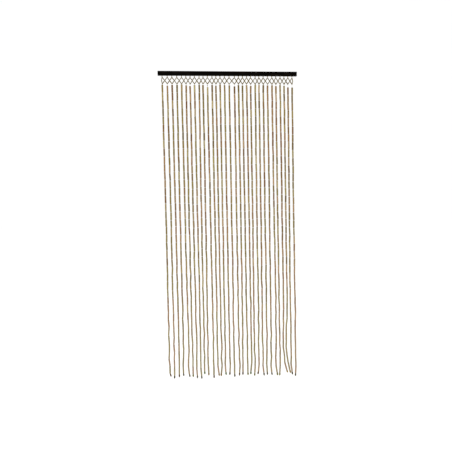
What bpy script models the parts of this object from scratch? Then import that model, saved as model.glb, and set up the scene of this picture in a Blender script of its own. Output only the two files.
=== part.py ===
"""A bamboo door curtain: strands of threaded tubes that hang from a heading net under a dark wooden rail.

Metres, +Z up. The origin is the middle of the rail's back face, which lies against the wall or door frame.
+Y points into the wall, and the curtain's face looks towards -Y.
"""

import math
import random
from collections import namedtuple

import bmesh
import bpy
import numpy as np

MM = 0.001
CLEARANCE = 0.0003

# Rail
RAIL_LENGTH = 0.900
RAIL_HEIGHT = 0.027
RAIL_DEPTH = 0.018
RAIL_EDGE_ROUND = 0.0012
RAIL_EDGE_STEPS = 2

# Heading net, as drops below the rail's underside
NET_APEX_DROP = 0.011
NET_KNOT_DROP = 0.053
NET_HALF_WIDTH = 0.0014
KNOT_REACH = 0.0015  # how far an upright runs on past a knot
THREAD_OFFSET = 0.0004  # how far in front of or behind the middle each set of diagonals lies

# Strands: a bar of four sides, about as thick as the bamboo tubes, under a thin neck of bare thread
FIRST_TUBE_DROP = 0.062
TUBE_HALF_WIDTH = 0.0044
NECK_HALF_WIDTH = 0.0010
NECK_TAPER = 0.0012

# The larger bead that ends each strand
END_LENGTH = 0.020
END_TAPER = 0.0025
END_HALF_WIDTH = 0.0050

# Sections of a strand: far apart where it hangs straight, and one tube apart lower down, where it kinks
STRAIGHT_STEP = 0.220
WAVY_FROM = 1.150
TUBE_PITCH = 0.050
SHORTEST_LAST_TUBE = 0.030
KINK_AT_TOP = 0.0002
KINK_AT_TIP = 0.0016
DEPTH_DRIFT_AT_TIP = 0.0035
SEED = 31

PAINT_COLOUR = (0.012, 0.011, 0.011)
PAINT_ROUGHNESS = 0.45
BAMBOO_COLOUR = (0.30, 0.20, 0.11)
BAMBOO_ROUGHNESS = 0.55

# A row for each strand, from the left end, in millimetres. root is its place along the rail from the middle.
# The at_ columns are how far it has drifted sideways from its root that far below the rail's top, and tip
# the same at its lower end. tip_drop is how far below the rail's top it ends.
Strand = namedtuple("Strand", "root at_1000 at_1500 at_1800 at_1930 tip tip_drop")
STRANDS = (
    Strand(-422, 4, 5, 5, 3, 14, 1974),
    Strand(-390, 4, 5, 6, 6, 3, 1988),
    Strand(-360, 4, 6, 7, 3, 5, 1981),
    Strand(-329, 2, 4, 4, 0, 3, 1976),
    Strand(-299, 4, 6, 11, 3, 14, 1983),
    Strand(-271, 2, 3, 5, 6, 6, 1985),
    Strand(-245, 3, 6, 7, 7, 8, 1994),
    Strand(-217, 2, 4, 4, 3, 9, 1999),
    Strand(-187, -2, -2, -1, -4, -1, 1971),
    Strand(-162, 0, -2, -2, -3, 0, 1979),
    Strand(-134, 3, 5, 8, 5, 6, 1999),
    Strand(-104, 2, 3, 2, 3, 11, 1985),
    Strand(-79, 2, 3, 4, 3, -2, 1987),
    Strand(-52, 1, 2, 0, 0, 5, 1982),
    Strand(-24, 2, 2, 1, 4, 0, 1983),
    Strand(7, 1, 1, 0, -1, 2, 1996),
    Strand(41, 0, -1, -1, 3, -1, 1989),
    Strand(67, 0, 0, 0, 1, -4, 1987),
    Strand(93, 1, 1, 3, 2, 5, 1989),
    Strand(120, 2, 3, 4, -1, -4, 1986),
    Strand(146, 0, -2, -2, 0, -5, 1996),
    Strand(176, -2, -1, -5, 0, -13, 1988),
    Strand(201, -1, -2, -3, -2, 5, 1997),
    Strand(229, -1, -1, -1, -5, -1, 1995),
    Strand(257, 0, 0, 0, -5, 2, 1997),
    Strand(286, 2, 6, 1, -1, 11, 2001),
    Strand(312, 0, 1, 1, 4, -3, 2001),
    Strand(340, 1, 3, -3, 8, 25, 1986),
    Strand(366, 0, 3, -11, 2, 19, 1990),
    Strand(391, -1, -3, -1, -2, 7, 2001),
    Strand(419, -1, 2, -2, 2, -3, 2011),
)
DRIFT_DROPS = (1.000, 1.500, 1.800, 1.930)

RAIL_TOP = RAIL_HEIGHT / 2
RAIL_UNDERSIDE = -RAIL_HEIGHT / 2
HANGING_PLANE = -RAIL_DEPTH / 2
HALF_WIDTH_TO_CORNER = math.sqrt(2.0)
FACE_FORWARD = math.radians(45.0)
WELD = 0.00001


def clear_scene():
    for item in list(bpy.data.objects):
        bpy.data.objects.remove(item, do_unlink=True)


def new_collection(name):
    collection = bpy.data.collections.new(name)
    bpy.context.scene.collection.children.link(collection)
    return collection


def new_material(name, colour, roughness):
    material = bpy.data.materials.new(name)
    material.use_nodes = True
    shader = material.node_tree.nodes["Principled BSDF"]
    shader.inputs["Base Color"].default_value = (*colour, 1.0)
    shader.inputs["Roughness"].default_value = roughness
    shader.inputs["Metallic"].default_value = 0.0
    return material


def new_object(name, mesh, collection, material):
    item = bpy.data.objects.new(name, mesh)
    item.data.materials.append(material)
    collection.objects.link(item)
    return item


def make_rail(collection):
    mesh = bpy.data.meshes.new("rail")
    form = bmesh.new()
    bmesh.ops.create_cube(form, size=1.0)
    bmesh.ops.scale(form, vec=(RAIL_LENGTH, RAIL_DEPTH, RAIL_HEIGHT), verts=form.verts)
    form.to_mesh(mesh)
    form.free()
    rail = new_object("rail", mesh, collection, new_material("black_paint", PAINT_COLOUR, PAINT_ROUGHNESS))
    rail.location = (0.0, HANGING_PLANE, 0.0)
    rounding = rail.modifiers.new("rounded_edges", "BEVEL")
    rounding.width = RAIL_EDGE_ROUND
    rounding.segments = RAIL_EDGE_STEPS
    return rail


def drift_at(strand, drop):
    """How far the strand has drifted from its root, drop being metres below the rail's top."""
    drops = (0.0, *DRIFT_DROPS, strand.tip_drop * MM)
    drifts = (0, strand.at_1000, strand.at_1500, strand.at_1800, strand.at_1930, strand.tip)
    return float(np.interp(drop, drops, drifts)) * MM


def section_drops(strand):
    """The drops below the rail's top at which the strand has a section, from its first tube to its tip."""
    tip = strand.tip_drop * MM
    drops = [RAIL_HEIGHT + FIRST_TUBE_DROP]
    while drops[-1] < tip - SHORTEST_LAST_TUBE - TUBE_PITCH:
        drops.append(drops[-1] + (STRAIGHT_STEP if drops[-1] < WAVY_FROM else TUBE_PITCH))
    return [*drops, tip]


def strand_points(strand, chance):
    """The middle of each section of a strand, which kinks a little more at each joint on the way down."""
    depth_at_tip = chance.uniform(-DEPTH_DRIFT_AT_TIP, DEPTH_DRIFT_AT_TIP)
    tip = strand.tip_drop * MM
    points = []
    for drop in section_drops(strand):
        share = drop / tip
        across = strand.root * MM + drift_at(strand, drop)
        depth = HANGING_PLANE + depth_at_tip * share * share
        if drop < tip:
            kink = KINK_AT_TOP + (KINK_AT_TIP - KINK_AT_TOP) * share
            across += chance.uniform(-kink, kink)
            depth += chance.uniform(-kink, kink)
        points.append((across, depth, RAIL_TOP - drop))
    return points


def add_tubes(curve, runs):
    """A four-sided tube along each run, which is a list of points, each with the tube's half width there."""
    for run in runs:
        spline = curve.splines.new("POLY")
        spline.points.add(len(run) - 1)
        for corner, (point, half_width) in zip(spline.points, run):
            corner.co = (*point, 1.0)
            corner.radius = half_width * HALF_WIDTH_TO_CORNER
            corner.tilt = FACE_FORWARD


def tubes_object(name, runs, collection, material):
    """The tubes along all runs as one mesh object, each tube a closed body of its own."""
    curve = bpy.data.curves.new(name + "_lines", "CURVE")
    curve.dimensions = "3D"
    curve.twist_mode = "MINIMUM"
    curve.bevel_depth = 1.0
    curve.bevel_resolution = 0
    curve.use_fill_caps = True
    add_tubes(curve, runs)
    lines = bpy.data.objects.new(name + "_lines", curve)
    collection.objects.link(lines)
    graph = bpy.context.evaluated_depsgraph_get()
    mesh = bpy.data.meshes.new_from_object(lines.evaluated_get(graph))
    mesh.name = name
    form = bmesh.new()
    form.from_mesh(mesh)
    bmesh.ops.remove_doubles(form, verts=form.verts, dist=WELD)
    form.to_mesh(mesh)
    form.free()
    mesh.materials.clear()
    bpy.data.objects.remove(lines, do_unlink=True)
    bpy.data.curves.remove(curve)
    return new_object(name, mesh, collection, material)


def net_point(across, drop, depth=0.0):
    return (across, HANGING_PLANE + depth, RAIL_UNDERSIDE - drop)


def diagonals(first_drop, last_drop, depth):
    """One thread from each strand's place to the next one's, at the two drops below the rail's underside."""
    roots = [strand.root * MM for strand in STRANDS]
    runs = []
    for left, right in zip(roots[:-1], roots[1:]):
        start = net_point(left, first_drop, depth)
        end = net_point(right, last_drop, depth)
        runs.append([(start, NET_HALF_WIDTH), (end, NET_HALF_WIDTH)])
    return runs


def end_bead(above, tip):
    """The end of the tubes, between the point above and the tip, and the bead that hangs under it."""
    length = above[2] - tip[2]
    run = []
    for height, half_width in ((END_LENGTH + END_TAPER, TUBE_HALF_WIDTH), (END_LENGTH, END_HALF_WIDTH)):
        share = height / length
        point = tuple(low + (high - low) * share for low, high in zip(tip, above))
        run.append((point, half_width))
    return [*run, (tip, END_HALF_WIDTH)]


def strand_run(strand, top_drop, chance):
    """A strand's thread from top_drop below the rail, then its tubes, and the bead at its tip."""
    points = strand_points(strand, chance)
    first = points[0]
    top = net_point(strand.root * MM, top_drop)
    neck_top = net_point(strand.root * MM, NET_KNOT_DROP + KNOT_REACH)
    neck_end = (first[0], first[1], first[2] + NECK_TAPER)
    thread = [(top, NET_HALF_WIDTH), (neck_top, NECK_HALF_WIDTH), (neck_end, NECK_HALF_WIDTH)]
    tubes = [(point, TUBE_HALF_WIDTH) for point in points[:-1]]
    return thread + tubes + end_bead(points[-2], points[-1])


def uprights_and_strands():
    """The uprights of the net and the strands under it. At both ends of the rail the two are one run."""
    chance = random.Random(SEED)
    runs = []
    for strand in STRANDS:
        root = strand.root * MM
        if strand in (STRANDS[0], STRANDS[-1]):
            runs.append(strand_run(strand, CLEARANCE, chance))
            continue
        stub_end = net_point(root, NET_APEX_DROP + KNOT_REACH)
        runs.append([(net_point(root, CLEARANCE), NET_HALF_WIDTH), (stub_end, NET_HALF_WIDTH)])
        runs.append(strand_run(strand, NET_KNOT_DROP - KNOT_REACH, chance))
    return runs


def join(target, other):
    union = target.modifiers.new("join_" + other.name, "BOOLEAN")
    union.operation = "UNION"
    union.solver = "EXACT"
    union.object = other


def make_net_and_strands(collection, helpers):
    bamboo = new_material("bamboo", BAMBOO_COLOUR, BAMBOO_ROUGHNESS)
    curtain = tubes_object("net_and_strands", uprights_and_strands(), collection, bamboo)
    falling = diagonals(NET_APEX_DROP, NET_KNOT_DROP, -THREAD_OFFSET)
    rising = diagonals(NET_KNOT_DROP, NET_APEX_DROP, THREAD_OFFSET)
    for name, runs in (("falling_threads", falling), ("rising_threads", rising)):
        threads = tubes_object(name, runs, helpers, bamboo)
        threads.hide_render = True
        threads.display_type = "WIRE"
        join(curtain, threads)
    return curtain


def main():
    clear_scene()
    collection = new_collection("bamboo_door_curtain")
    helpers = new_collection("threads_to_join")
    helpers.hide_render = True
    make_rail(collection)
    make_net_and_strands(collection, helpers)


main()
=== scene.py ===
"""The looks of a bamboo door curtain: cane tubes and beads threaded on strings, a heading net and a dark rail.

Metres, +Z up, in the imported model's frame: the rail's back face lies against y = 0, and the curtain faces -Y.
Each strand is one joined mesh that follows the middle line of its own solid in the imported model.
"""

import math
import random

import bmesh
import bpy
import numpy as np
from mathutils import Matrix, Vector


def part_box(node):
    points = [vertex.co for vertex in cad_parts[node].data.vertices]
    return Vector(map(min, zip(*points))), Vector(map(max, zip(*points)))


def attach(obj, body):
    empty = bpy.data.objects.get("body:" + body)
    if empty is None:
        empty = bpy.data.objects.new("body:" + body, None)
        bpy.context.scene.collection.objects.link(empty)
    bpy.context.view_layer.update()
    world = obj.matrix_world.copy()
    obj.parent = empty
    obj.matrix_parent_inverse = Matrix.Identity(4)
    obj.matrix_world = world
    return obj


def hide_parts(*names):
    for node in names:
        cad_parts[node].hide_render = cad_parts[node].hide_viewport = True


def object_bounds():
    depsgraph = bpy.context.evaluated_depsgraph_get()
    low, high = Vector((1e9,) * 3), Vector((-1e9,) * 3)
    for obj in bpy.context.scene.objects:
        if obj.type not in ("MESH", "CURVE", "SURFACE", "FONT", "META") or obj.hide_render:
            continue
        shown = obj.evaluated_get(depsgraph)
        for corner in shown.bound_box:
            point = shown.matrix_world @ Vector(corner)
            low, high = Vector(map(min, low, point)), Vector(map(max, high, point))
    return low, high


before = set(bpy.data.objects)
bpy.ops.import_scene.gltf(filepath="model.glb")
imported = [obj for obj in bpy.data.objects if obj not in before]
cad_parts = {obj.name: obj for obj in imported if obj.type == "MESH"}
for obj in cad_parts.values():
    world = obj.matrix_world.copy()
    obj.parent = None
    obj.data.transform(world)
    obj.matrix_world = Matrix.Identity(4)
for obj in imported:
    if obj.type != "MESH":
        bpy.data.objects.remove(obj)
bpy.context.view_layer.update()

MM = 0.001
SEED = 4711
UP = np.array((0.0, 0.0, 1.0))
INTO_WALL = np.array((0.0, 1.0, 0.0))
WHITE = (1.0, 1.0, 1.0, 1.0)

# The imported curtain. The drops are below the rail's underside, and the last one parts the net from the strands.
STRANDS = 31
NET_APEX_DROP = 0.011
NET_KNOT_DROP = 0.053
TUBES_START_BELOW = 0.0585
# Corners that each strand's solid has where its neck ends in its first section, at each section below, and at
# its end bead
TOP_CORNERS = 8
SECTION_CORNERS = 4
END_CORNERS = 12
CORNER_DECIMALS = 5
SAME_CORNER = 0.00002  # corners this close are one

# Cane tubes
TUBE_PITCH = 0.0504
TUBE_PITCH_SPREAD = 0.0011
TUBE_GAP = 0.0027
TUBE_RADIUS = 0.0054
TUBE_RADIUS_SPREAD = 0.0003
TUBE_BORE = 0.0017
TUBE_SIDES = 12
RIM = 0.0006
RIM_BEND = 0.3  # share of the rim at which its rounding bends
CUT_RINGS = 3  # rings of a tube's end that show its cut pith
WAIST = 0.985
OVALITY = 0.025
BOW = 0.0003
NODE_CHANCE = 0.35
NODE_HEIGHT = 0.00035
NODE_REACH = 0.0016
NODE_FROM_MIDDLE = 0.6  # how far from the middle a node may lie, as a share of half the tube

# How a strand hangs: the play of a tube on its thread, how far its joints stray from its line at the top and at
# the tip, and how far its line stays from the wall
LOOSE_FIT = 0.0005
JOINT_STRAY = (0.0006, 0.0026)
CLEAR_OF_WALL = 0.0064

# Thread, the small beads on it, the larger bead at each tip and the knot under that
THREAD_RADIUS = 0.0007
THREAD_SIDES = 6
BEAD_RADIUS = 0.0026
BEAD_RADIUS_RANGE = (0.85, 1.1)
BEAD_HEIGHT = 0.0024
BEAD_RINGS = 5
BEAD_SIDES = 10
BEAD_CUT_AT = 66.0  # latitude at which a bead is cut off flat, in degrees
END_LENGTH = 0.0190
END_RADIUS = 0.0056
END_RADIUS_RANGE = (0.90, 1.0)
END_RINGS = 11
END_SIDES = 16
END_SQUARENESS = 0.55
END_GAP = TUBE_GAP * 0.4
KNOT_RADIUS = 0.0017
KNOT_HEIGHT = 0.0026
KNOT_RINGS = 5
KNOT_SIDES = 8
BALL_CUT_AT = 82.0  # the same for all other beads and the knot
# The one strand with a bead of its own between the net and the first tube, counted from 0 at the left, and how
# far below the rail's top that bead hangs
LOOSE_BEAD_STRAND = 10
LOOSE_BEAD_DROP = 0.090
LOOSE_BEAD_RADIUS = 0.0030
LOOSE_BEAD_RINGS = 7
ROUND_BEAD_HEIGHT = 1.9  # height of the loose bead and of the net's beads, in their radii

# Heading net
TWIG_RADIUS = 0.0026
TWIG_RADIUS_RANGE = (0.9, 1.12)
TWIG_BORE = 0.0007
TWIG_SIDES = 10
TWIG_NODE_CHANCE = 0.6
TWIG_BELOW_RAIL = 0.0002
NET_BEAD_RADIUS = 0.0029
KNOT_BEAD_RADIUS = 0.0031
NET_BEAD_RADIUS_RANGE = (0.92, 1.1)
NET_BEAD_RINGS = 6
NET_STRAY_MM = 0.5
END_UPRIGHT_BOW = 0.0045
NET_THREAD_RADIUS = 0.0006
THREAD_IN_RAIL = 0.004

# Rail
RAIL_CUTS = 60
RAIL_ROUND = 0.0013
RAIL_ROUND_STEPS = 3
RAIL_WAVES = 5
RAIL_WAVE_RATES = (8.0, 60.0)
RAIL_UNEVEN = 0.008
HOLE_RADIUS = 0.0020
HOLE_DEPTH = 0.009
HOLE_SIDES = 16
EDGE_REACH = 0.0022

# Angles in degrees above which an edge stays sharp
SHARP_CANE = 50.0
SHARP_RAIL = 40.0

# The bake map: areas as (left, low, right, high), and grids as columns and rows
BAKE_MAP = "OFBake"
MAP_MARGIN = 0.0022
TUBE_AREA = (0.0, 0.0, 1.0, 0.86)
TUBE_GRID = (10, 4)
BEAD_AREA = (0.0, 0.86, 1.0, 0.94)
BEAD_GRID = (22, 2)
REST_AREA = (0.0, 0.94, 1.0, 1.0)
REST_GRID = (4, 1)
NET_AREA = (0.0, 0.0, 1.0, 1.0)
NET_GRID = (20, 18)
BORE_MAP_SHARE = 0.1  # of a bore's real length
CAP_MAP_SHARE = 0.08  # of the cell's height, for the cap at either end
CAP_RADIUS_SHARE = 0.4  # of that
CAP_MIDDLE_RISE = 1.2  # from the cell's end, in the cap's radii

# What the materials read at each corner
MARKS = ("stain", "russet", "shade", "pale", "along", "node", "cut")

# A row for each strand from the left: how far below the rail's top its first tube starts, in millimetres,
# and the colour of the bead at its tip.
STRAND_LOOKS = (
    (86, "umber"), (92, "slate"), (87, "umber"), (86, "slate"), (84, "slate"), (89, "olive"),
    (94, "slate"), (87, "slate"), (85, "moss"), (87, "amber"), (100, "umber"), (86, "amber"),
    (91, "amber"), (84, "moss"), (87, "umber"), (88, "slate"), (95, "umber"), (86, "umber"),
    (89, "olive"), (87, "moss"), (91, "olive"), (84, "umber"), (85, "slate"), (86, "slate"),
    (88, "slate"), (87, "olive"), (92, "olive"), (85, "gold"), (90, "gold"), (100, "slate"),
    (101, "slate"),
)

# Colours as seen, in 0 to 255. Cane from the darkest to the palest, each as olive cane and as russet cane.
CANE_TONES = (
    ((112, 94, 18), (124, 80, 28)),
    ((133, 114, 36), (148, 105, 50)),
    ((154, 138, 66), (169, 131, 82)),
    ((178, 164, 98), (190, 156, 110)),
    ((199, 187, 132), (207, 180, 138)),
)
FADED_CANE = ((168, 160, 130), (182, 158, 136))
CANE_MOTTLE = (170, 142, 96)
# Painted shade in the low furrows of the cane's fibre relief and a painted highlight on its raised fibres, which
# also streak it along its grain
CANE_FURROW_SHADE = (140, 116, 80)
CANE_FIBRE_HIGHLIGHT = (190, 168, 112)
CANE_SPECK = (62, 48, 34)
CANE_NODE = (74, 56, 38)
CANE_RIM = (96, 74, 50)
CANE_PITH = (186, 164, 122)
PALE_BEAD = ((204, 186, 146), (164, 140, 100))
THREAD_TONES = ((206, 194, 160), (168, 152, 116))
THREAD_SOIL = (140, 124, 92)
NET_TONES = ((128, 108, 14), (84, 67, 8))
RAIL_TONES = ((3, 2, 1), (9, 7, 5))
RAIL_PATCH = (22, 19, 18)
RAIL_WORN = (40, 29, 21)
END_TONES = {
    "slate": (82, 76, 50),
    "umber": (96, 70, 34),
    "olive": (112, 108, 22),
    "moss": (78, 98, 10),
    "amber": (138, 104, 10),
    "gold": (148, 120, 20),
}
# The light and the dark of an end bead's grain, as factors of its tone
END_LIGHT = 1.15
END_DARK = 0.8

# Lightness of the cane, from 0 to 1, at the top and at the tips, and how far it strays for a whole strand, at the
# top and at the tips, and for one tube, with the share of that which is lost at the tips
CANE_LIGHTNESS = (0.45, 0.50)
STRAND_STRAY = (0.02, 0.09)
TUBE_STRAY = 0.24
STRAY_LOST = 0.3
DARK_TUBE_CHANCE = 0.04
DARK_TUBE_DROP = 0.3
DARKEST_CANE = 0.05
# Share of russet in the cane: at the top and at the tips, its spread, and what a tube takes from the one above
RUSSET = (0.46, 0.36)
RUSSET_SPREAD = 0.50
RUSSET_KEPT = 0.6
# How far a tube is faded, by chance and by the tips
PALE_RANGE = (0.0, 0.10)
PALE_AT_TIPS = 0.55
# Brightness factors
TUBE_SHADES = (0.92, 1.08)
BEAD_SHADES = (0.85, 1.1)
END_SHADES = (0.9, 1.1)
TWIG_SHADES = (0.8, 1.15)
KNOT_SHADE = 0.8

# How tightly each grain repeats across, across and along its piece, and for the rail along it first
FIBRE_GRAIN = (1500.0, 1500.0, 32.0)
MOTTLE_GRAIN = (190.0, 190.0, 70.0)
SPECK_GRAIN = (900.0, 900.0, 420.0)
PORE_GRAIN = (1100.0, 1100.0, 340.0)
BEAD_GRAIN = (420.0, 420.0, 150.0)
TWIG_GRAIN = (900.0, 900.0, 60.0)
TWIST_GRAIN = (1400.0, 1400.0, 900.0)
SOIL_GRAIN = (90.0, 90.0, 40.0)
RAIL_GRAIN = (7.0, 420.0, 420.0)
RAIL_PORES = (45.0, 2200.0, 2200.0)
RAIL_PATCHES = (14.0, 60.0, 60.0)
FLOOR_GRAIN = (1.5, 1.5, 1.5)
GRAIN_STRAY = 5.0  # each form takes its grain from a place up to this far off, so that no two are alike

# Floor, lamps (name, place, size, power) and the point they face, surroundings and camera
FLOOR_SIZE = 60.0
FLOOR_BELOW_TIPS = 0.06
FLOOR_COLOURS = ((0.93, 0.93, 0.925, 1.0), (0.95, 0.95, 0.945, 1.0))
FLOOR_GLOW = 0.66
LAMPS = (
    ("key", (-2.2, -3.4, 1.4), 2.6, 64.0),
    ("fill", (2.8, -2.6, 0.2), 2.2, 20.0),
)
LAMPS_FACE = (0.0, 0.0, -0.9)
SURROUNDINGS_LIGHT = 0.42
SURROUNDINGS_SEEN = 1.01
CAMERA_PLACE = (-0.2846, -3.0043, -0.8673)
CAMERA_TURN = (-4.84, -2.19, 1.065)
CAMERA_LENS = 36.72
SENSOR_WIDTH = 36.0


def tone(red, green, blue):
    """A colour given as it is seen, in 0 to 255, as the linear colour that a shader takes."""
    shares = [value / 255.0 for value in (red, green, blue)]
    linear = [share / 12.92 if share <= 0.04045 else ((share + 0.055) / 1.055) ** 2.4 for share in shares]
    return (*linear, 1.0)


# Materials


class Tree:
    """Short ways to add and link the nodes of one material."""

    def __init__(self, name):
        self.material = bpy.data.materials.new(name)
        self.material.use_nodes = True
        self.nodes = self.material.node_tree.nodes
        self.links = self.material.node_tree.links
        self.shader = self.nodes["Principled BSDF"]

    def put(self, socket, value):
        if isinstance(value, bpy.types.NodeSocket):
            self.links.new(value, socket)
        else:
            socket.default_value = value

    def add(self, kind, output, inputs, **settings):
        made = self.nodes.new(kind)
        for name, value in settings.items():
            setattr(made, name, value)
        for name, value in inputs.items():
            self.put(made.inputs[name], value)
        return made.outputs[output]

    def attribute(self, name, output="Fac"):
        return self.add("ShaderNodeAttribute", output, {}, attribute_name=name)

    def noise(self, place, stretch, detail=2.0):
        stretched = self.add("ShaderNodeVectorMath", 0, {0: place, 1: stretch}, operation="MULTIPLY")
        return self.add("ShaderNodeTexNoise", "Fac", {"Vector": stretched, "Scale": 1.0, "Detail": detail})

    def maths(self, operation, first, second):
        return self.add("ShaderNodeMath", 0, {0: first, 1: second}, operation=operation)

    def remap(self, value, low, high, to_low, to_high):
        ends = {"From Min": low, "From Max": high, "To Min": to_low, "To Max": to_high}
        return self.add("ShaderNodeMapRange", "Result", {"Value": value, **ends})

    def mix(self, share, first, second, blend="MIX"):
        made = self.nodes.new("ShaderNodeMix")
        made.data_type = "RGBA"
        made.blend_type = blend
        for index, value in ((0, share), (6, first), (7, second)):
            self.put(made.inputs[index], value)
        return made.outputs[2]

    def ramp(self, share, colours):
        """The colours in even steps from 0 to 1."""
        made = self.nodes.new("ShaderNodeValToRGB")
        self.put(made.inputs[0], share)
        stops = made.color_ramp.elements
        while len(stops) < len(colours):
            stops.new(0.5)
        for index, (stop, colour) in enumerate(zip(stops, colours)):
            stop.position = index / (len(colours) - 1)
            stop.color = colour
        return made.outputs["Color"]

    def brightened(self, colour, value):
        return self.add("ShaderNodeHueSaturation", "Color", {"Color": colour, "Value": value})

    def relief(self, height, depth):
        bump = self.add("ShaderNodeBump", "Normal", {"Height": height, "Distance": depth, "Strength": 1.0})
        self.put(self.shader.inputs["Normal"], bump)

    def finish(self, colour, roughness, specular):
        self.put(self.shader.inputs["Base Color"], colour)
        self.put(self.shader.inputs["Roughness"], roughness)
        self.shader.inputs["Specular IOR Level"].default_value = specular
        return self.material


def cane_material():
    """Cane skin: fibres along the tube with painted shade in their furrows and a painted highlight on their
    ridges, mottling, specks, a darker node and ends, and pale pith at the cuts.
    """
    tree = Tree("cane")
    place = tree.attribute("grain_place", "Vector")
    fibre = tree.noise(place, FIBRE_GRAIN, 3.0)
    mottle = tree.noise(place, MOTTLE_GRAIN)
    specks = tree.noise(place, SPECK_GRAIN)
    stain = tree.attribute("stain")
    olive = tree.ramp(stain, [tone(*row[0]) for row in CANE_TONES])
    russet = tree.ramp(stain, [tone(*row[1]) for row in CANE_TONES])
    colour = tree.mix(tree.attribute("russet"), olive, russet)
    colour = tree.brightened(colour, tree.attribute("shade"))
    colour = tree.mix(tree.remap(mottle, 0.40, 0.62, 0.0, 0.30), colour, tone(*CANE_MOTTLE), "MULTIPLY")
    # Painted shade where the fibre relief is low and a painted highlight where it is high, both streaking along
    # the grain
    colour = tree.mix(tree.remap(fibre, 0.35, 0.65, 0.42, 0.0), colour, tone(*CANE_FURROW_SHADE), "MULTIPLY")
    colour = tree.mix(tree.remap(fibre, 0.52, 0.75, 0.0, 0.22), colour, tone(*CANE_FIBRE_HIGHLIGHT))
    faded = tree.mix(tree.attribute("russet"), tone(*FADED_CANE[0]), tone(*FADED_CANE[1]))
    colour = tree.mix(tree.attribute("pale"), colour, faded)
    colour = tree.mix(tree.remap(specks, 0.66, 0.74, 0.0, 0.55), colour, tone(*CANE_SPECK))
    colour = tree.mix(tree.maths("MULTIPLY", tree.attribute("node"), 0.6), colour, tone(*CANE_NODE))
    end = tree.maths("ABSOLUTE", tree.attribute("along"), 0.0)
    colour = tree.mix(tree.remap(end, 0.90, 1.0, 0.0, 0.45), colour, tone(*CANE_RIM))
    colour = tree.mix(tree.attribute("cut"), colour, tone(*CANE_PITH))
    tree.relief(tree.maths("ADD", fibre, tree.maths("MULTIPLY", specks, 0.4)), 0.00035)
    return tree.finish(colour, tree.remap(mottle, 0.3, 0.7, 0.45, 0.65), 0.12)


def bead_material(name, light, dark, grain, roughness):
    """Smooth wood: grain between two tones, stretched as grain says, with open pores."""
    tree = Tree(name)
    place = tree.attribute("grain_place", "Vector")
    growth = tree.noise(place, grain, 3.0)
    pores = tree.noise(place, PORE_GRAIN, 1.0)
    colour = tree.mix(tree.remap(growth, 0.35, 0.65, 0.0, 1.0), light, dark)
    colour = tree.brightened(colour, tree.attribute("shade"))
    colour = tree.mix(tree.remap(pores, 0.60, 0.72, 0.0, 0.5), colour, dark, "MULTIPLY")
    colour = tree.mix(tree.maths("MULTIPLY", tree.attribute("cut"), 0.5), colour, dark)
    tree.relief(pores, -0.0002)
    return tree.finish(colour, tree.remap(growth, 0.3, 0.7, roughness, roughness + 0.15), 0.12)


def end_material(name, colour):
    """The wood of the beads at the tips, in one of its colours."""
    light = tone(*(min(255, value * END_LIGHT) for value in colour))
    dark = tone(*(value * END_DARK for value in colour))
    return bead_material("end_" + name, light, dark, BEAD_GRAIN, 0.4)


def thread_material():
    """Undyed twisted thread, slightly soiled."""
    tree = Tree("thread")
    place = tree.attribute("grain_place", "Vector")
    twist = tree.noise(place, TWIST_GRAIN)
    soil = tree.noise(place, SOIL_GRAIN)
    colour = tree.mix(tree.remap(twist, 0.35, 0.65, 0.0, 1.0), tone(*THREAD_TONES[0]), tone(*THREAD_TONES[1]))
    colour = tree.mix(tree.remap(soil, 0.45, 0.7, 0.0, 0.5), colour, tone(*THREAD_SOIL))
    tree.relief(twist, 0.0003)
    return tree.finish(colour, tree.remap(twist, 0.3, 0.7, 0.75, 0.9), 0.2)


def rail_material():
    """Near-black stained wood of low sheen: a faint grain along the rail, and brown wear on its edges."""
    tree = Tree("dark_wood")
    place = tree.add("ShaderNodeTexCoord", "Object", {})
    grain = tree.noise(place, RAIL_GRAIN, 4.0)
    pores = tree.noise(place, RAIL_PORES, 2.0)
    patches = tree.noise(place, RAIL_PATCHES, 2.0)
    colour = tree.mix(tree.remap(grain, 0.38, 0.66, 0.0, 1.0), tone(*RAIL_TONES[0]), tone(*RAIL_TONES[1]))
    colour = tree.mix(tree.remap(patches, 0.55, 0.75, 0.0, 0.5), colour, tone(*RAIL_PATCH))
    worn = tree.maths("MULTIPLY", tree.attribute("edge"), tree.remap(patches, 0.50, 0.68, 0.0, 0.5))
    colour = tree.mix(worn, colour, tone(*RAIL_WORN))
    tree.relief(tree.maths("ADD", grain, tree.maths("MULTIPLY", pores, 0.5)), 0.0003)
    return tree.finish(colour, tree.remap(pores, 0.3, 0.7, 0.48, 0.68), 0.02)


# Turned forms, and the piles that join them


def turned(profile, sides, oval=0.0, phase=0.0):
    """Rings round +Z, one for each (radius, height) of the profile, a little oval. Shape (rings, sides, 3)."""
    angles = np.arange(sides) * math.tau / sides
    radii, heights = np.array(profile).T
    reach = radii[:, None] * (1.0 + oval * np.cos(2.0 * angles + phase))
    rises = np.broadcast_to(heights[:, None], reach.shape)
    return np.stack((reach * np.cos(angles), reach * np.sin(angles), rises), 2)


def axes_along(direction, spin=0.0):
    """Three rows: two directions across the given one, turned by spin, and the direction itself."""
    forward = direction / np.linalg.norm(direction)
    across = np.cross(INTO_WALL, forward)
    across /= np.linalg.norm(across)
    other = np.cross(forward, across)
    return np.stack((
        across * math.cos(spin) + other * math.sin(spin),
        other * math.cos(spin) - across * math.sin(spin),
        forward,
    ))


def ring_faces(rings, sides, bored):
    """Faces between neighbouring rings. A bored form closes on itself, and another gets a cap at both ends."""
    steps = rings if bored else rings - 1
    faces = []
    for ring in range(steps):
        above = (ring + 1) % rings
        for side in range(sides):
            turn = (side + 1) % sides
            faces.append((
                ring * sides + side, ring * sides + turn, above * sides + turn, above * sides + side,
            ))
    if not bored:
        top = (rings - 1) * sides
        faces.append(tuple(range(sides - 1, -1, -1)))
        faces.append(tuple(range(top, top + sides)))
    return faces


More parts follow.
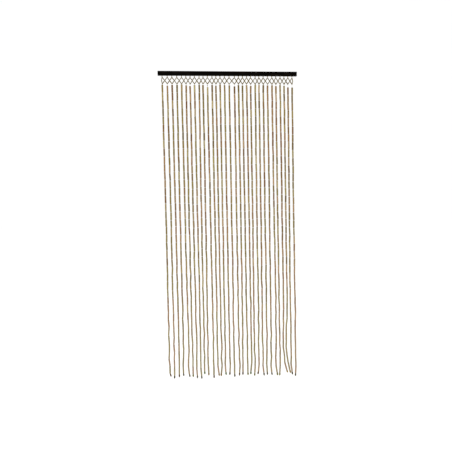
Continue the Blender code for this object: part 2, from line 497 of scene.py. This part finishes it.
def ring_map(form, bored, cell):
    """Each face corner's place on the bake map, with the form's side unrolled into its cell."""
    rings, sides = form.shape[:2]
    left, low, right, high = cell
    outline = form[:, 0, :]
    steps = np.linalg.norm(np.diff(outline, axis=0), axis=1)
    if bored:
        steps = np.append(steps, BORE_MAP_SHARE * np.linalg.norm(outline[0] - outline[-1]))
    rises = np.concatenate(((0.0,), np.cumsum(steps))) / steps.sum()
    cap = 0.0 if bored else CAP_MAP_SHARE
    rises = low + (high - low) * (cap + rises * (1.0 - 2.0 * cap))
    turns = np.linspace(left, right, sides + 1)
    corners = []
    for ring in range(len(rises) - 1):
        for side in range(sides):
            corners += [
                (turns[side], rises[ring]),
                (turns[side + 1], rises[ring]),
                (turns[side + 1], rises[ring + 1]),
                (turns[side], rises[ring + 1]),
            ]
    if not bored:
        reach = (high - low) * cap * CAP_RADIUS_SHARE
        for edge, inward, order in ((low, 1.0, range(sides - 1, -1, -1)), (high, -1.0, range(sides))):
            for side in order:
                angle = side * math.tau / sides
                corners.append((
                    (left + right) / 2.0 + reach * math.cos(angle),
                    edge + reach * (inward * CAP_MIDDLE_RISE + math.sin(angle)),
                ))
    return corners


def grid_cell(index, columns, rows, area):
    """The index-th cell of a grid that fills an area (left, low, right, high) of the map, less a margin."""
    left, low, right, high = area
    wide, tall = (right - left) / columns, (high - low) / rows
    column, row = index % columns, index // columns
    assert row < rows, "the bake map's grid is too small"
    corner = (left + column * wide, low + row * tall)
    return (
        corner[0] + MAP_MARGIN,
        corner[1] + MAP_MARGIN,
        corner[0] + wide - MAP_MARGIN,
        corner[1] + tall - MAP_MARGIN,
    )


class Pile:
    """Many small forms, gathered for one joined mesh with a bake map and marks that its materials read."""

    def __init__(self, name, materials, chance):
        self.name = name
        self.materials = materials
        self.chance = chance
        self.points = []
        self.grain = []
        self.faces = []
        self.slots = []
        self.corners = []
        self.marks = {mark: [] for mark in MARKS}

    def add(self, form, axes, middle, material, cell, bored=False, **marks):
        """form has its rings round +Z. axes and middle place it, and a mark is a number or one for each ring."""
        rings, sides = form.shape[:2]
        first = sum(len(points) for points in self.points)
        local = form.reshape(-1, 3)
        self.points.append(local @ axes + middle)
        shift = np.array([self.chance.uniform(-GRAIN_STRAY, GRAIN_STRAY) for _ in range(3)])
        self.grain.append(local + shift)
        for face in ring_faces(rings, sides, bored):
            self.faces.append(tuple(first + corner for corner in face))
            self.slots.append(self.materials.index(material))
        self.corners += ring_map(form, bored, cell)
        for mark in MARKS:
            value = np.asarray(marks.get(mark, 0.0), float)
            each_ring = np.broadcast_to(value, (rings,))
            self.marks[mark].append(np.repeat(each_ring, sides))

    def joined(self):
        """All the forms as one mesh object."""
        mesh = bpy.data.meshes.new(self.name)
        mesh.from_pydata(np.concatenate(self.points).tolist(), [], self.faces)
        for material in self.materials:
            mesh.materials.append(material)
        mesh.polygons.foreach_set("material_index", self.slots)
        mesh.polygons.foreach_set("use_smooth", [True] * len(mesh.polygons))
        unrolled = mesh.uv_layers.new(name=BAKE_MAP)
        unrolled.uv.foreach_set("vector", np.array(self.corners, np.float32).ravel())
        grain = mesh.attributes.new("grain_place", "FLOAT_VECTOR", "POINT")
        grain.data.foreach_set("vector", np.concatenate(self.grain).astype(np.float32).ravel())
        for mark, values in self.marks.items():
            layer = mesh.attributes.new(mark, "FLOAT", "POINT")
            layer.data.foreach_set("value", np.concatenate(values).astype(np.float32))
        mesh.set_sharp_from_angle(angle=math.radians(SHARP_CANE))
        piece = bpy.data.objects.new(self.name, mesh)
        bpy.context.scene.collection.objects.link(piece)
        return piece


def cane_tube(length, radius, bore, sides, chance, node_chance=NODE_CHANCE):
    """A cut length of cane about its middle, and its marks: softened rims, a bore, maybe a node, a slight bow."""
    half = length / 2.0
    node = half * chance.uniform(-NODE_FROM_MIDDLE, NODE_FROM_MIDDLE)
    has_node = chance.random() < node_chance
    ridge = NODE_HEIGHT * radius / TUBE_RADIUS if has_node else 0.0
    reach = NODE_REACH * radius / TUBE_RADIUS
    lower = (node - reach - half) / 2.0
    upper = (node + reach + half) / 2.0
    end = (
        (bore, RIM),
        (bore + RIM, 0.0),
        (radius - RIM, 0.0),
        (radius - RIM * RIM_BEND, RIM * RIM_BEND),
        (radius, RIM),
    )
    profile = [(reach_out, rise - half) for reach_out, rise in end]
    profile += [(radius * WAIST, lower), (radius, node - reach), (radius + ridge, node)]
    profile += [(radius, node + reach), (radius * WAIST, upper)]
    profile += [(reach_out, half - rise) for reach_out, rise in reversed(end)]
    form = turned(profile, sides, chance.uniform(0.0, OVALITY), chance.uniform(0.0, math.tau))
    along = np.array([height for _, height in profile]) / half
    form[:, :, 0] += chance.uniform(-BOW, BOW) * (1.0 - along * along)[:, None]
    cut = np.zeros(len(profile))
    cut[:CUT_RINGS] = cut[-CUT_RINGS:] = 1.0
    at_node = (np.arange(len(profile)) == len(profile) // 2) * float(has_node)
    return form, {"along": along, "cut": cut, "node": at_node}


def ball(radius, height, rings, sides, squareness=1.0, cut_at=BALL_CUT_AT):
    """A turned bead about its middle, cut off flat at both ends, at the latitude cut_at in degrees."""
    angles = np.radians(np.linspace(-cut_at, cut_at, rings))
    radii = radius * np.cos(angles) ** squareness
    heights = height / 2.0 * np.sin(angles) / math.sin(math.radians(cut_at))
    return turned(list(zip(radii, heights)), sides)


def thread_between(points, radius):
    """Rings along a line of points that rises, about the first point."""
    angles = np.arange(THREAD_SIDES) * math.tau / THREAD_SIDES
    circle = np.stack((np.cos(angles), np.sin(angles), np.zeros(THREAD_SIDES)), 1) * radius
    return (points - points[0])[:, None, :] + circle


# The strands


def packed_corners(node):
    """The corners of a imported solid, each once, in the order of their places."""
    form = bmesh.new()
    form.from_mesh(node.data)
    bmesh.ops.remove_doubles(form, verts=form.verts, dist=SAME_CORNER)
    corners = np.array([corner.co for corner in form.verts], float)
    form.free()
    return np.unique(np.round(corners, CORNER_DECIMALS), axis=0)


def strand_sections(node):
    """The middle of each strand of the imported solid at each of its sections, from the top down, and each tip."""
    corners = packed_corners(node)
    rail_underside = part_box("rail")[0].z
    corners = corners[corners[:, 2] < rail_underside - TUBES_START_BELOW]
    corners = corners[np.argsort(-corners[:, 2])]
    ends = len(corners) - END_CORNERS * STRANDS
    breaks = range(TOP_CORNERS * STRANDS, ends + 1, SECTION_CORNERS * STRANDS)
    levels = np.split(corners, list(breaks))
    middles = []
    for index, level in enumerate(levels):
        level = level[np.argsort(level[:, 0])].reshape(STRANDS, -1, 3)
        if index == len(levels) - 1:
            lowest = np.argsort(level[:, :, 2], axis=1)[:, :SECTION_CORNERS]
            level = np.take_along_axis(level, lowest[:, :, None], 1)
        middles.append(level.mean(1))
    return np.stack(middles, 1)


def root_places(node):
    """Where each strand's thread meets the rail, from left to right."""
    corners = packed_corners(node)
    top = corners[corners[:, 2] > corners[:, 2].max() - MM / 2]
    return np.sort(top[:, 0]).reshape(STRANDS, -1).mean(1)


def on_line(sections, height):
    """The strand's middle at a height, above its first section straight up from it."""
    rising = sections[::-1]
    across = np.interp(height, rising[:, 2], rising[:, 0])
    depth = np.interp(height, rising[:, 2], rising[:, 1])
    return np.array((across, min(depth, -CLEAR_OF_WALL), height))


def between(ends, share):
    return ends[0] + (ends[1] - ends[0]) * share


def cane_shades(count, chance):
    """The marks of a strand's tubes from the top down. They get paler, and neighbours are alike in hue."""
    strand_stray = chance.uniform(-1.0, 1.0)
    russet = chance.gauss(0.0, 1.0)
    shades = []
    for index in range(count):
        down = index / (count - 1)
        stain = between(CANE_LIGHTNESS, down * down)
        stain += strand_stray * between(STRAND_STRAY, down)
        stain += chance.gauss(0.0, 1.0) * TUBE_STRAY * (1.0 - STRAY_LOST * down)
        if chance.random() < DARK_TUBE_CHANCE * (1.0 - down):
            stain -= DARK_TUBE_DROP
        russet = RUSSET_KEPT * russet + math.sqrt(1.0 - RUSSET_KEPT ** 2) * chance.gauss(0.0, 1.0)
        shades.append({
            "stain": min(max(stain, DARKEST_CANE), 1.0),
            "russet": min(max(between(RUSSET, down) + RUSSET_SPREAD * russet, 0.0), 1.0),
            "shade": chance.uniform(*TUBE_SHADES),
            "pale": chance.uniform(*PALE_RANGE) + PALE_AT_TIPS * down * down,
        })
    return shades


def add_bead(pile, middle, material, cell, chance):
    """One of the small flat beads that part the tubes."""
    radius = BEAD_RADIUS * chance.uniform(*BEAD_RADIUS_RANGE)
    form = ball(radius, BEAD_HEIGHT, BEAD_RINGS, BEAD_SIDES, cut_at=BEAD_CUT_AT)
    axes = axes_along(UP, chance.uniform(0.0, math.tau))
    cut = np.zeros(BEAD_RINGS)
    cut[0] = cut[-1] = 1.0
    pile.add(form, axes, middle, material, cell, True, shade=chance.uniform(*BEAD_SHADES), cut=cut)


def make_strand(number, sections, materials, knot_height):
    """One strand, from the net's knot bead down to the knot under its last bead."""
    cane, bead_wood, thread, ends = materials
    first_drop, end_colour = STRAND_LOOKS[number]
    chance = random.Random(SEED + number)
    rail_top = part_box("rail")[1].z
    tip = sections[-1]
    top = rail_top - first_drop * MM
    tubes_end = tip[2] + KNOT_HEIGHT + END_LENGTH + END_GAP
    pile = Pile("strand_%02d" % (number + 1), [cane, bead_wood, thread, ends[end_colour]], chance)

    count = round((top - tubes_end) / TUBE_PITCH)
    pitches = np.array([chance.uniform(-1.0, 1.0) * TUBE_PITCH_SPREAD for _ in range(count)]) + TUBE_PITCH
    pitches *= (top - tubes_end + TUBE_GAP) / pitches.sum()
    tops = top - np.concatenate(((0.0,), np.cumsum(pitches)))
    downs = np.arange(count + 1) / count
    strays = between(JOINT_STRAY, downs * downs) * [chance.uniform(-1.0, 1.0) for _ in range(count + 1)]
    strays[-1] = 0.0
    line = [on_line(sections, knot_height)]
    shades = cane_shades(count, chance)
    for index in range(count):
        upper = on_line(sections, tops[index])
        lower = on_line(sections, tops[index + 1] + TUBE_GAP)
        for place, stray in ((upper, strays[index]), (lower, strays[index + 1])):
            place[0] += stray + chance.uniform(-LOOSE_FIT, LOOSE_FIT)
            place[1] += chance.uniform(-LOOSE_FIT, LOOSE_FIT)
        radius = TUBE_RADIUS + chance.uniform(-TUBE_RADIUS_SPREAD, TUBE_RADIUS_SPREAD)
        form, marks = cane_tube(np.linalg.norm(upper - lower), radius, TUBE_BORE, TUBE_SIDES, chance)
        marks.update(shades[index])
        axes = axes_along(upper - lower, chance.uniform(0.0, math.tau))
        cell = grid_cell(index, *TUBE_GRID, TUBE_AREA)
        pile.add(form, axes, (upper + lower) / 2.0, cane, cell, True, **marks)
        line += [upper, lower]
        if index < count - 1:
            middle = on_line(sections, tops[index + 1] + TUBE_GAP / 2.0)
            middle[0] += strays[index + 1]
            add_bead(pile, middle, bead_wood, grid_cell(index, *BEAD_GRID, BEAD_AREA), chance)
    if number == LOOSE_BEAD_STRAND:
        above = on_line(sections, rail_top - LOOSE_BEAD_DROP)
        form = ball(LOOSE_BEAD_RADIUS, LOOSE_BEAD_RADIUS * ROUND_BEAD_HEIGHT, LOOSE_BEAD_RINGS, BEAD_SIDES)
        pile.add(form, np.eye(3), above, ends[end_colour], grid_cell(count, *BEAD_GRID, BEAD_AREA), shade=1.0)

    end_middle = on_line(sections, tip[2] + KNOT_HEIGHT + END_LENGTH / 2.0)
    end_axes = axes_along(sections[-2] - tip, chance.uniform(0.0, math.tau))
    end_radius = END_RADIUS * chance.uniform(*END_RADIUS_RANGE)
    form = ball(end_radius, END_LENGTH, END_RINGS, END_SIDES, END_SQUARENESS)
    cell = grid_cell(0, *REST_GRID, REST_AREA)
    pile.add(form, end_axes, end_middle, ends[end_colour], cell, shade=chance.uniform(*END_SHADES))
    knot_middle = on_line(sections, tip[2] + KNOT_HEIGHT / 2.0)
    form = ball(KNOT_RADIUS, KNOT_HEIGHT, KNOT_RINGS, KNOT_SIDES)
    pile.add(form, end_axes, knot_middle, thread, grid_cell(1, *REST_GRID, REST_AREA), shade=KNOT_SHADE)
    line += [end_middle, knot_middle]
    rising = np.array(line[::-1])
    form = thread_between(rising, THREAD_RADIUS)
    pile.add(form, np.eye(3), rising[0], thread, grid_cell(2, *REST_GRID, REST_AREA), shade=1.0)
    return pile.joined()


# The heading net


def make_net(roots, depth, materials):
    """Diamonds of thin twigs and small beads between the rail and the strands, with an upright at both ends."""
    twig, thread = materials
    chance = random.Random(SEED - 1)
    pile = Pile("heading_net", [twig, thread], chance)
    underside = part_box("rail")[0].z
    apex_height = underside - NET_APEX_DROP
    knot_height = underside - NET_KNOT_DROP
    middle_height = (apex_height + knot_height) / 2.0
    used = iter(range(NET_GRID[0] * NET_GRID[1]))

    def next_cell():
        return grid_cell(next(used), *NET_GRID, NET_AREA)

    def corner(across, height):
        """A place in the net, a little off its exact one."""
        off = [chance.uniform(-NET_STRAY_MM, NET_STRAY_MM) * MM for _ in range(3)]
        return np.array((across, depth, height)) + off

    def add_twig(low, high):
        """A twig on its thread from the bead at low to the bead at high."""
        way = (high - low) / np.linalg.norm(high - low)
        start = low + way * NET_BEAD_RADIUS
        end = high - way * NET_BEAD_RADIUS
        radius = TWIG_RADIUS * chance.uniform(*TWIG_RADIUS_RANGE)
        length = np.linalg.norm(end - start)
        form, marks = cane_tube(length, radius, TWIG_BORE, TWIG_SIDES, chance, TWIG_NODE_CHANCE)
        marks.update(shade=chance.uniform(*TWIG_SHADES))
        axes = axes_along(way, chance.uniform(0.0, math.tau))
        pile.add(form, axes, (start + end) / 2.0, twig, next_cell(), True, **marks)

    def add_ball(place, size):
        radius = size * chance.uniform(*NET_BEAD_RADIUS_RANGE)
        form = ball(radius, radius * ROUND_BEAD_HEIGHT, NET_BEAD_RINGS, BEAD_SIDES)
        axes = axes_along(UP, chance.uniform(0.0, math.tau))
        pile.add(form, axes, place, twig, next_cell(), shade=chance.uniform(*BEAD_SHADES))

    apexes = [corner(root, apex_height) for root in roots]
    knots = [corner(root, knot_height) for root in roots]
    crossings = [corner((left + right) / 2.0, middle_height) for left, right in zip(roots[:-1], roots[1:])]
    outer = [
        corner(roots[0] - END_UPRIGHT_BOW, middle_height),
        corner(roots[-1] + END_UPRIGHT_BOW, middle_height),
    ]
    for index, crossing in enumerate(crossings):
        for side in (index, index + 1):
            add_twig(crossing, apexes[side])
            add_twig(knots[side], crossing)
    for side, place in ((0, outer[0]), (-1, outer[1])):
        add_twig(place, apexes[side])
        add_twig(knots[side], place)
    for apex in apexes:
        across, behind, _ = apex
        add_twig(apex, np.array((across, behind, underside + NET_BEAD_RADIUS - TWIG_BELOW_RAIL)))
        thread_end = (across, behind, underside + THREAD_IN_RAIL)
        rising = np.array((apex, (across, behind, underside), thread_end))
        pile.add(thread_between(rising, NET_THREAD_RADIUS), np.eye(3), apex, thread, next_cell(), shade=1.0)
    for place in (*apexes, *crossings, *outer):
        add_ball(place, NET_BEAD_RADIUS)
    for place in knots:
        add_ball(place, KNOT_BEAD_RADIUS)
    return pile.joined()


# The rail


def object_from(form, name):
    """The form, which is used up, as a mesh object."""
    mesh = bpy.data.meshes.new(name)
    form.to_mesh(mesh)
    form.free()
    item = bpy.data.objects.new(name, mesh)
    bpy.context.scene.collection.objects.link(item)
    return item


def hole_cutters(roots, depth, underside):
    """Upright pegs through the rail's underside, to drill the threads' holes with."""
    form = bmesh.new()
    for root in roots:
        bmesh.ops.create_cone(
            form, cap_ends=True, segments=HOLE_SIDES, radius1=HOLE_RADIUS, radius2=HOLE_RADIUS,
            depth=HOLE_DEPTH * 2.0, matrix=Matrix.Translation((root, depth, underside)),
        )
    return object_from(form, "thread_hole_cutters")


def mark_edges(mesh, low, high):
    """Marks each corner 1 on the rail's long and end edges, and 0 further than EDGE_REACH from them."""
    corners = np.empty(len(mesh.vertices) * 3, np.float32)
    mesh.vertices.foreach_get("co", corners)
    corners = corners.reshape(-1, 3)
    from_sides = np.sort(np.minimum(corners - low, high - corners), axis=1)
    edge = np.clip(1.0 - from_sides[:, 1] / EDGE_REACH, 0.0, 1.0)
    layer = mesh.attributes.new("edge", "FLOAT", "POINT")
    layer.data.foreach_set("value", edge.astype(np.float32))


def make_rail(material, roots):
    """The wooden rail with softened, slightly uneven edges, and a drilled hole under it for each thread."""
    low, high = (np.array(corner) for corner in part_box("rail"))
    size, middle = high - low, (low + high) / 2.0
    chance = random.Random(SEED - 2)
    form = bmesh.new()
    bmesh.ops.create_cube(form, size=1.0)
    bmesh.ops.scale(form, vec=size, verts=form.verts)
    long_edges = [edge for edge in form.edges if abs(edge.verts[0].co.x - edge.verts[1].co.x) > size[0] / 2.0]
    bmesh.ops.subdivide_edges(form, edges=long_edges, cuts=RAIL_CUTS, use_grid_fill=True)
    bmesh.ops.bevel(
        form, geom=[edge for edge in form.edges if edge.calc_face_angle(0.0) > 1.0], offset=RAIL_ROUND,
        segments=RAIL_ROUND_STEPS, profile=0.5, affect="EDGES", clamp_overlap=True,
    )
    waves = [(chance.uniform(*RAIL_WAVE_RATES), chance.uniform(0.0, math.tau)) for _ in range(RAIL_WAVES)]
    for corner in form.verts:
        wave = sum(math.sin(rate * corner.co.x + start) for rate, start in waves) / RAIL_WAVES
        corner.co.y *= 1.0 - RAIL_UNEVEN * (0.5 + wave)
        corner.co.z *= 1.0 - RAIL_UNEVEN * (0.5 - wave)
    bmesh.ops.translate(form, vec=middle, verts=form.verts)
    rail = object_from(form, "rail_wood")
    drill = hole_cutters(roots, middle[1], low[2])
    cut = rail.modifiers.new("thread_holes", "BOOLEAN")
    cut.object = drill
    cut.solver = "EXACT"
    graph = bpy.context.evaluated_depsgraph_get()
    rail.data = bpy.data.meshes.new_from_object(rail.evaluated_get(graph))
    rail.modifiers.clear()
    bpy.data.objects.remove(drill, do_unlink=True)
    mesh = rail.data
    mesh.materials.clear()
    mesh.materials.append(material)
    mesh.polygons.foreach_set("use_smooth", [True] * len(mesh.polygons))
    mesh.set_sharp_from_angle(angle=math.radians(SHARP_RAIL))
    mark_edges(mesh, low, high)
    return rail


# Stage, light and camera


def make_stage():
    """A plain pale floor, lit so that it meets the white surroundings with no visible line."""
    low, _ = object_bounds()
    bpy.ops.mesh.primitive_plane_add(size=FLOOR_SIZE, location=(0.0, 0.0, low.z - FLOOR_BELOW_TIPS))
    floor = bpy.context.object
    floor.name = "floor"
    tree = Tree("pale_floor")
    place = tree.add("ShaderNodeTexCoord", "Object", {})
    cloud = tree.noise(place, FLOOR_GRAIN)
    tree.finish(tree.mix(cloud, *FLOOR_COLOURS), 0.9, 0.0)
    tree.shader.inputs["Emission Color"].default_value = WHITE
    tree.shader.inputs["Emission Strength"].default_value = FLOOR_GLOW
    floor.data.materials.append(tree.material)


def make_light():
    """White surroundings, with a large soft lamp in front on the left and a weaker one on the right."""
    world = bpy.data.worlds.new("white_surroundings")
    bpy.context.scene.world = world
    world.use_nodes = True
    nodes, links = world.node_tree.nodes, world.node_tree.links
    surroundings = nodes["Background"]
    surroundings.inputs["Color"].default_value = WHITE
    rays = nodes.new("ShaderNodeLightPath")
    strength = nodes.new("ShaderNodeMapRange")
    strength.inputs["To Min"].default_value = SURROUNDINGS_LIGHT
    strength.inputs["To Max"].default_value = SURROUNDINGS_SEEN
    links.new(rays.outputs["Is Camera Ray"], strength.inputs["Value"])
    links.new(strength.outputs["Result"], surroundings.inputs["Strength"])
    for name, place, size, power in LAMPS:
        lamp = bpy.data.lights.new(name, "AREA")
        lamp.size = size
        lamp.energy = power
        item = bpy.data.objects.new(name, lamp)
        item.location = place
        aim = np.array(LAMPS_FACE) - np.array(place)
        item.rotation_mode = "QUATERNION"
        item.rotation_quaternion = Vector(aim).to_track_quat("-Z", "Y")
        bpy.context.scene.collection.objects.link(item)
    bpy.context.scene.view_settings.view_transform = "Standard"


def make_camera():
    """A camera a little left of the curtain's middle and below it, turned as CAMERA_TURN says, in degrees."""
    yaw, pitch, roll = (math.radians(angle) for angle in CAMERA_TURN)
    turn = Matrix.Rotation(yaw, 3, "Z") @ Matrix.Rotation(pitch, 3, "X") @ Matrix.Rotation(roll, 3, "Y")
    look_along_y = Matrix.Rotation(math.radians(90.0), 3, "X")
    camera = bpy.data.objects.new("camera", bpy.data.cameras.new("camera"))
    camera.data.lens = CAMERA_LENS
    camera.data.sensor_width = SENSOR_WIDTH
    camera.matrix_world = Matrix.Translation(CAMERA_PLACE) @ (turn @ look_along_y).to_4x4()
    bpy.context.scene.collection.objects.link(camera)
    bpy.context.scene.camera = camera


def main():
    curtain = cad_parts["net_and_strands"]
    sections = strand_sections(curtain)
    roots = root_places(curtain)
    knot_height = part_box("rail")[0].z - NET_KNOT_DROP
    hanging_plane = sum(corner.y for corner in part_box("rail")) / 2.0
    cane = cane_material()
    bead_wood = bead_material("bead_wood", tone(*PALE_BEAD[0]), tone(*PALE_BEAD[1]), BEAD_GRAIN, 0.45)
    thread = thread_material()
    ends = {name: end_material(name, colour) for name, colour in END_TONES.items()}

    for number in range(STRANDS):
        strand = make_strand(number, sections[number], (cane, bead_wood, thread, ends), knot_height)
        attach(strand, "root")
        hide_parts("net_and_strands")
    net_wood = bead_material("net_wood", tone(*NET_TONES[0]), tone(*NET_TONES[1]), TWIG_GRAIN, 0.5)
    net = make_net(roots, hanging_plane, (net_wood, thread))
    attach(net, "root")
    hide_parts("net_and_strands")
    rail = make_rail(rail_material(), roots)
    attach(rail, "root")
    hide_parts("rail")

    make_stage()
    make_light()
    make_camera()


main()
